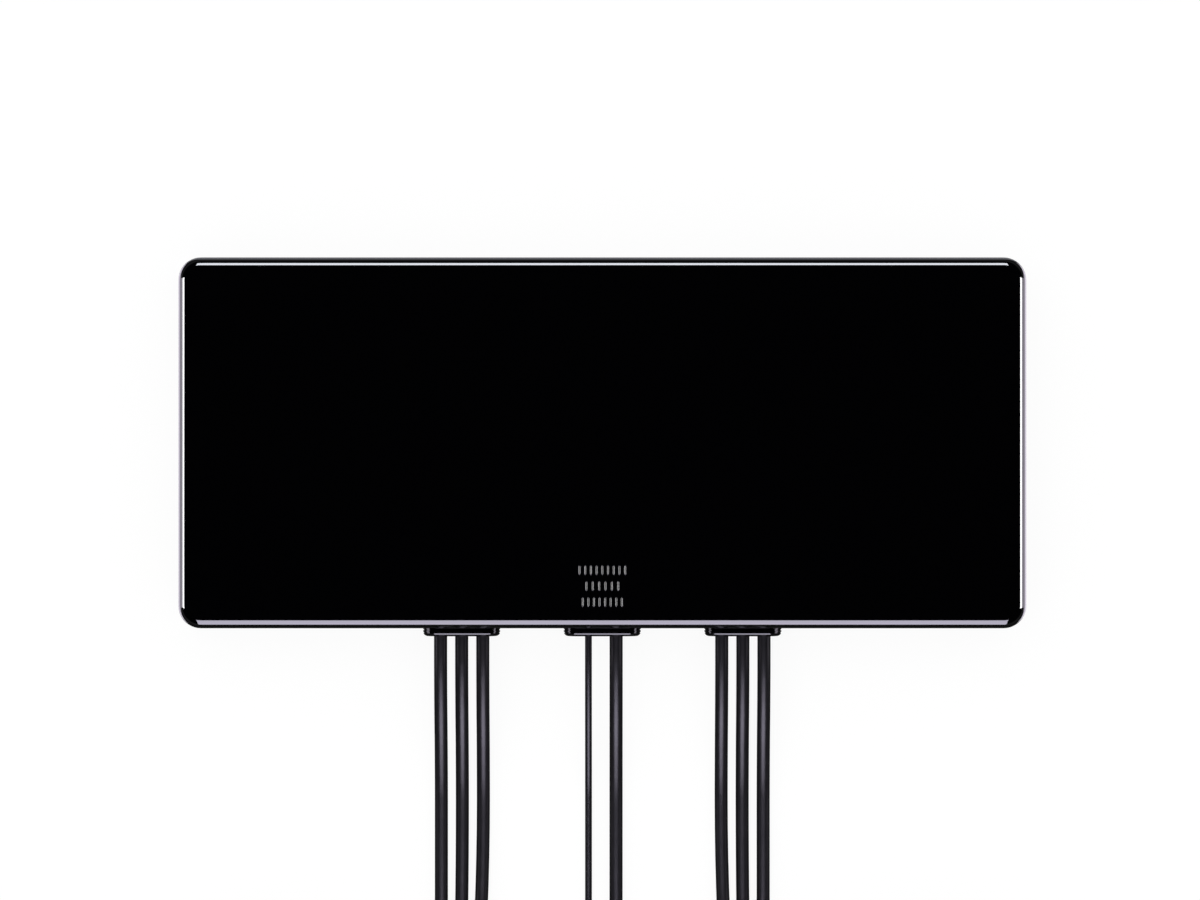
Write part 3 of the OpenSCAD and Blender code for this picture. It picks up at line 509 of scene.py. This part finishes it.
def jacket_pvc():
    """Extruded PVC jacket: satin black, with a faint long wave from the die."""
    material, tree, shader, coords = new_material("jacket_pvc", "#131216", 0.34, ior=1.52)
    shader.inputs["Specular IOR Level"].default_value = 0.22
    tree.links.new(spread(tree, noise(tree, coords, 3), 0.32, 0.36), shader.inputs["Roughness"])
    two_tones(tree, shader, spread(tree, noise(tree, coords, 14), 0, 1), "#121115", "#151418")
    bump(tree, shader, noise(tree, coords, 1.5, 1.0), 0.003, 0.2)
    return material


def loop_fabric():
    """Hook-and-loop strap: black nylon pile with a nap of about 0.5 mm."""
    material, tree, shader, coords = new_material("loop_fabric", "#202023", 0.9)
    pile = noise(tree, coords, 0.5, 5.0)
    shader.inputs["Sheen Weight"].default_value = 0.35
    two_tones(tree, shader, spread(tree, pile, 0, 1), "#161618", "#303034")
    bump(tree, shader, pile, 0.15, 0.9)
    return material


def connector_plastic(name, dark, light):
    """Glass-filled PBT housing: coloured, satin, with a moulded grain."""
    material, tree, shader, coords = new_material(name, dark, 0.42)
    two_tones(tree, shader, spread(tree, noise(tree, coords, 3), 0, 1), dark, light)
    bump(tree, shader, noise(tree, coords, 0.35), 0.01, 0.4)
    return material


finishes = {
    "cover_plastic": polished_abs(),
    "base_plastic": textured_abs(),
    "seal_rubber": seal_rubber(),
    "pad_foam": cell_foam(),
    "insert_brass": turned_brass(),
    "vent_plastic": moulded_acetal(),
    "screw_steel": zinc_steel(),
    "plane_aluminium": rolled_aluminium(),
    "element_brass": stamped_brass(),
    "board_laminate": board_laminate(),
    "patch_ceramic": fired_ceramic(),
    "shield_tinplate": tin_plate(),
    "gland_rubber": moulded_rubber(),
    "lead_jacket": jacket_pvc(),
    "tie_fabric": loop_fabric(),
    "connector_claret": connector_plastic("claret_pbt", "#6c2231", "#722635"),
    "connector_beige": connector_plastic("beige_pbt", "#bab39e", "#bfb8a3"),
    "connector_blue": connector_plastic("blue_pbt", "#26498a", "#294d8e"),
}


def finish_frame_nodes():
    """Gives each CAD node the material of its slot in the record."""
    for part in frame["record"]["subparts"]:
        for slot in nodes[part["node"]].material_slots:
            slot.material = finishes[part["material_slot"]]


finish_frame_nodes()


# The free leads, each with its connector, and the ties of each coil

def make_ties(coil_name, coil, leads, side):
    """The ties of one coil, which take the place of the plain ones."""
    ties = []
    for k in range(TIE_COUNT):
        angle = coil["wind"] + TIE_AHEAD - STEP_BACK * k
        tie = make_tie(f"{coil_name}_tie_{k + 1}", coil, leads, angle, side, finishes["tie_fabric"])
        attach(tie, "root")
        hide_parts(coil_name + "_ties")
        ties.append(tie)
    return ties


def make_cord(lead_node, route, radius, also_for=()):
    """One free lead from its gland to its connector, in place of the plain lead and of the pieces in
    also_for.
    """
    lead = make_lead(lead_node + "_cord", route, radius, finishes["lead_jacket"])
    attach(lead, "root")
    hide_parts(lead_node, *also_for)


def make_side_leads(coil_name, side, lead_nodes):
    """The three leads of a side gland in their coil, with the coil's ties; the lowest also hides the
    plain coil.
    """
    ties = make_ties(coil_name, SIDE_COIL, SIDE_LEADS, side)
    for i, (sweep, layer_z, radius) in enumerate(SIDE_LEADS):
        route = mirrored(lead_route(LEFT_ROUTES[i], SIDE_COIL, sweep, layer_z, SIDE_PLUG_Z), side)
        make_cord(lead_nodes[i], route, radius, [] if i else [coil_name])


def make_middle_leads():
    """The thick lead and the thin one of the middle gland in their coil."""
    ties = make_ties("middle_coil", MIDDLE_COIL, PAIR_LEADS, -1)
    sweep, layer_z, radius = PAIR_LEADS[0]
    thick = lead_route(THICK_ROUTE, MIDDLE_COIL, sweep, layer_z, PAIR_PLUG_Z)
    make_cord("wifi_lead_2", thick, radius, ["middle_coil"])
    sweep, layer_z, radius = PAIR_LEADS[1]
    thin = lead_route(THIN_ROUTE, MIDDLE_COIL, sweep, layer_z, PAIR_PLUG_Z)
    make_cord("gnss_lead", thin, radius)


make_side_leads("left_coil", -1, ["cell_lead_1", "cell_lead_2", "wifi_lead_1"])
make_side_leads("right_coil", 1, ["cell_lead_4", "cell_lead_3", "wifi_lead_3"])
make_middle_leads()


# Raised tactile marks, low in the middle of the face

def mark_tree():
    """Geometry Nodes tree for one row of raised bars, with its count, sizes and place as inputs."""
    tree = bpy.data.node_groups.new("raised_bars", "GeometryNodeTree")
    face = tree.interface
    sockets = [
        ("Bar Count", "NodeSocketInt", 8), ("Bar Pitch", "NodeSocketFloat", 2 * MM),
        ("Bar Width", "NodeSocketFloat", BAR_W), ("Bar Length", "NodeSocketFloat", BAR_L),
        ("Rise", "NodeSocketFloat", BAR_RISE), ("Row Y", "NodeSocketFloat", 0.0),
        ("Face Z", "NodeSocketFloat", face_z), ("Finish", "NodeSocketMaterial", None),
    ]
    for name, kind, value in sockets:
        socket = face.new_socket(name, in_out="INPUT", socket_type=kind)
        if value is not None:
            socket.default_value = value
    face.new_socket("Geometry", in_out="OUTPUT", socket_type="NodeSocketGeometry")
    given = add(tree, "NodeGroupInput").outputs

    def maths(operation, a, b):
        return add(tree, "ShaderNodeMath", [(0, a), (1, b)], operation=operation).outputs[0]

    # A bar is the hull of a ball at each of its ends, flattened to its rise and sunk by half
    radius = maths("MULTIPLY", given["Bar Width"], 0.5)
    reach = maths("SUBTRACT", maths("MULTIPLY", given["Bar Length"], 0.5), radius)
    start = add(tree, "ShaderNodeCombineXYZ", [("Y", maths("MULTIPLY", reach, -1.0))])
    end = add(tree, "ShaderNodeCombineXYZ", [("Y", reach)])
    line = add(tree, "GeometryNodeMeshLine", [("Count", 2)], mode="END_POINTS")
    tree.links.new(start.outputs[0], line.inputs["Start Location"])
    tree.links.new(end.outputs[0], line.inputs["Offset"])
    ball = add(tree, "GeometryNodeMeshUVSphere", [("Segments", 24), ("Rings", 12)])
    tree.links.new(radius, ball.inputs["Radius"])
    ends = add(tree, "GeometryNodeInstanceOnPoints", [
        ("Points", line.outputs[0]), ("Instance", ball.outputs[0])])
    solid = add(tree, "GeometryNodeRealizeInstances", [("Geometry", ends.outputs[0])])
    capsule = add(tree, "GeometryNodeConvexHull", [("Geometry", solid.outputs[0])])
    squash = add(tree, "ShaderNodeCombineXYZ", [("X", 1.0), ("Y", 1.0)])
    tree.links.new(maths("DIVIDE", given["Rise"], radius), squash.inputs["Z"])
    bar = add(tree, "GeometryNodeTransform", [
        ("Geometry", capsule.outputs[0]), ("Scale", squash.outputs[0])])

    # The row repeats it, centred on the middle of the face
    span = maths("MULTIPLY", given["Bar Pitch"], maths("SUBTRACT", given["Bar Count"], 1.0))
    first = add(tree, "ShaderNodeCombineXYZ", [("X", maths("MULTIPLY", span, -0.5))])
    step = add(tree, "ShaderNodeCombineXYZ", [("X", given["Bar Pitch"])])
    row = add(tree, "GeometryNodeMeshLine", [
        ("Count", given["Bar Count"]), ("Start Location", first.outputs[0]), ("Offset", step.outputs[0])])
    bars = add(tree, "GeometryNodeInstanceOnPoints", [
        ("Points", row.outputs[0]), ("Instance", bar.outputs[0])])
    place = add(tree, "ShaderNodeCombineXYZ", [("Y", given["Row Y"]), ("Z", given["Face Z"])])
    moved = add(tree, "GeometryNodeTransform", [
        ("Geometry", bars.outputs[0]), ("Translation", place.outputs[0])])
    real = add(tree, "GeometryNodeRealizeInstances", [("Geometry", moved.outputs[0])])
    shaded = add(tree, "GeometryNodeSetShadeSmooth", [("Geometry", real.outputs[0])])
    painted = add(tree, "GeometryNodeSetMaterial", [
        ("Geometry", shaded.outputs[0]), ("Material", given["Finish"])])
    out = add(tree, "NodeGroupOutput")
    tree.links.new(painted.outputs[0], out.inputs[0])
    return tree


def grown(name, tree, values):
    """A plain mesh made by a Geometry Nodes tree with the named input values."""
    seed = bpy.data.objects.new(name + "_seed", bpy.data.meshes.new(name + "_seed"))
    scene.collection.objects.link(seed)
    modifier = seed.modifiers.new("grow", "NODES")
    modifier.node_group = tree
    for item in tree.interface.items_tree:
        if item.in_out == "INPUT" and item.name in values:
            modifier[item.identifier] = values[item.name]
    graph = bpy.context.evaluated_depsgraph_get()
    mesh = bpy.data.meshes.new_from_object(seed.evaluated_get(graph))
    bpy.data.objects.remove(seed)
    made = bpy.data.objects.new(name, mesh)
    scene.collection.objects.link(made)
    return made


def make_marks():
    """Three rows of bars: the bars in each, their pitch in mm and the row's pixel line."""
    tree = mark_tree()
    made_rows = []
    rows = [("mark_row_1", 9, 2.15, 570.0), ("mark_row_2", 6, 2.4, 585.8), ("mark_row_3", 8, 2.1, 601.8)]
    for name, count, pitch, row_px in rows:
        made = grown(name, tree, {
            "Bar Count": count, "Bar Pitch": pitch * MM, "Bar Width": BAR_W, "Bar Length": BAR_L,
            "Rise": BAR_RISE, "Row Y": (BODY_CENTRE_PX[1] - row_px) * PIXEL, "Face Z": face_z,
            "Finish": finishes["cover_plastic"],
        })
        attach(made, "root")
        made_rows.append(made)
    return made_rows


mark_rows = make_marks()


# Floor, world and lamps

def make_floor():
    """White paper that keeps a faint shadow, and is dark to glossy surfaces as in the photograph."""
    mesh = bpy.data.meshes.new("floor")
    reach = 4.0
    corners = [(-reach, -reach, 0), (reach, -reach, 0), (reach, reach, 0), (-reach, reach, 0)]
    mesh.from_pydata(corners, [], [(0, 1, 2, 3)])
    floor = bpy.data.objects.new("floor", mesh)
    scene.collection.objects.link(floor)
    material, tree, shader = new_material("matt_white_paper", "#f2f2f2", 0.9)[:3]
    shader.inputs["Specular IOR Level"].default_value = 0.1
    path = add(tree, "ShaderNodeLightPath").outputs
    glow = add(tree, "ShaderNodeEmission", [("Color", linear("#ffffff")), ("Strength", 1.04)])
    share = add(tree, "ShaderNodeMath", [(0, path["Is Camera Ray"]), (1, 0.88)], operation="MULTIPLY")
    lit = add(tree, "ShaderNodeMixShader", [
        (0, share.outputs[0]), (1, shader.outputs[0]), (2, glow.outputs[0])])
    dark = add(tree, "ShaderNodeEmission", [("Color", linear("#ffffff")), ("Strength", 0.06)])
    mix = add(tree, "ShaderNodeMixShader", [
        (0, path["Is Glossy Ray"]), (1, lit.outputs[0]), (2, dark.outputs[0])])
    tree.links.new(mix.outputs[0], tree.nodes["Material Output"].inputs["Surface"])
    mesh.materials.append(material)


def make_world():
    """White to the camera and to matt surfaces; to glossy ones a bright horizon under a dark sky."""
    world = bpy.data.worlds.new("studio")
    scene.world = world
    world.use_nodes = True
    tree = world.node_tree
    path = add(tree, "ShaderNodeLightPath").outputs
    way = add(tree, "ShaderNodeTexCoord").outputs["Generated"]
    height = add(tree, "ShaderNodeSeparateXYZ", [("Vector", way)]).outputs["Z"]
    glow = add(tree, "ShaderNodeMapRange", [
        ("Value", height), ("From Min", 0.16), ("From Max", 0.34), ("To Min", 0.2), ("To Max", 0.0)])
    shine = add(tree, "ShaderNodeMath", [(0, glow.outputs[0]), (1, path["Is Glossy Ray"])],
                operation="MULTIPLY")
    matt = add(tree, "ShaderNodeMath", [(0, path["Is Diffuse Ray"]), (1, 0.8)], operation="MULTIPLY")
    some = add(tree, "ShaderNodeMath", [(0, path["Is Camera Ray"]), (1, matt.outputs[0])],
               operation="MAXIMUM")
    total = add(tree, "ShaderNodeMath", [(0, some.outputs[0]), (1, shine.outputs[0])],
                operation="MAXIMUM")
    background = tree.nodes["Background"]
    background.inputs["Color"].default_value = linear("#ffffff")
    tree.links.new(total.outputs[0], background.inputs["Strength"])


def make_card(name, target, tilt, azimuth, width, length, radiance, colour="#ffffff", away=CARD_AWAY):
    """A lit card that shows in glossy surfaces; tilt is its angle off the vertical.

    azimuth 0 puts it towards +X and 90 towards +Y of its target, at a distance of away.
    """
    data = bpy.data.lights.new(name, "AREA")
    data.shape = "RECTANGLE"
    data.size = length
    data.size_y = width
    data.color = linear(colour)[:3]
    data.energy = radiance * math.pi * width * length
    lamp = bpy.data.objects.new(name, data)
    scene.collection.objects.link(lamp)
    t, a = math.radians(tilt), math.radians(azimuth)
    back = Vector((math.sin(t) * math.cos(a), math.sin(t) * math.sin(a), math.cos(t)))
    across = Vector((-math.sin(a), math.cos(a), 0))
    spot = Vector(target) + back * away
    up = back.cross(across)
    lamp.matrix_world = Matrix((
        (across.x, up.x, back.x, spot.x), (across.y, up.y, back.y, spot.y),
        (across.z, up.z, back.z, spot.z), (0, 0, 0, 1)))
    lamp.visible_camera = False
    lamp.visible_diffuse = False
    return lamp


def make_low_card(name, x, y, size_x, size_y, radiance, colour):
    """A lit card that lies on the floor face up, for the lowest band of the cover's edge."""
    card = make_card(name, (x, y, 0), 0, 0, width=size_y, length=size_x, radiance=radiance, colour=colour)
    card.matrix_world = Matrix.Translation((x, y, 1 * MM)) @ Matrix.Rotation(math.pi, 4, "X")


def make_end_cards(side, edges):
    """The cards at one end of the part; the highest lights the cover and its marks alone."""
    spot = (side * (half_w - EDGE_INSET), 0, face_z)
    facing = 90 - 90 * side
    end = make_card("end_card", spot, 56, facing, width=0.18, length=END_CARD, radiance=30)
    end.light_linking.receiver_collection = edges
    make_card("mid_card", spot, 80, facing, width=0.24, length=END_CARD, radiance=4.5, colour="#f6eeff")
    make_low_card("low_card", side * (half_w + 90 * MM), 0, 0.16, 0.17, radiance=4, colour="#f6eeff")


def make_lamps():
    """Cards for the highlights along each edge, and a soft key for the matt surfaces."""
    top = (0, half_d - EDGE_INSET, face_z)
    make_card("top_card", top, 38, 90, width=0.2, length=LONG_CARD, radiance=19, colour="#f4f7ff")
    bottom = (0, -half_d + EDGE_INSET, face_z)
    make_card("bottom_card", bottom, 50, -90, width=0.5, length=LONG_CARD, radiance=11, colour="#efe9ff")
    edges = bpy.data.collections.new("lit_by_end_cards")
    for piece in [nodes["top_cover"], *mark_rows]:
        edges.objects.link(piece)
    for side in (-1, 1):
        make_end_cards(side, edges)
    make_low_card("top_low_card", 0, half_d + 60 * MM, 0.34, 0.1, radiance=1, colour="#f4f4ff")
    key = make_card("soft_key", (0, 0, 0), 35, 120, width=1.4, length=1.4, radiance=0.45, away=1.6)
    key.visible_diffuse = True
    key.visible_glossy = False


make_floor()
make_world()
make_lamps()
scene.view_settings.view_transform = "Standard"
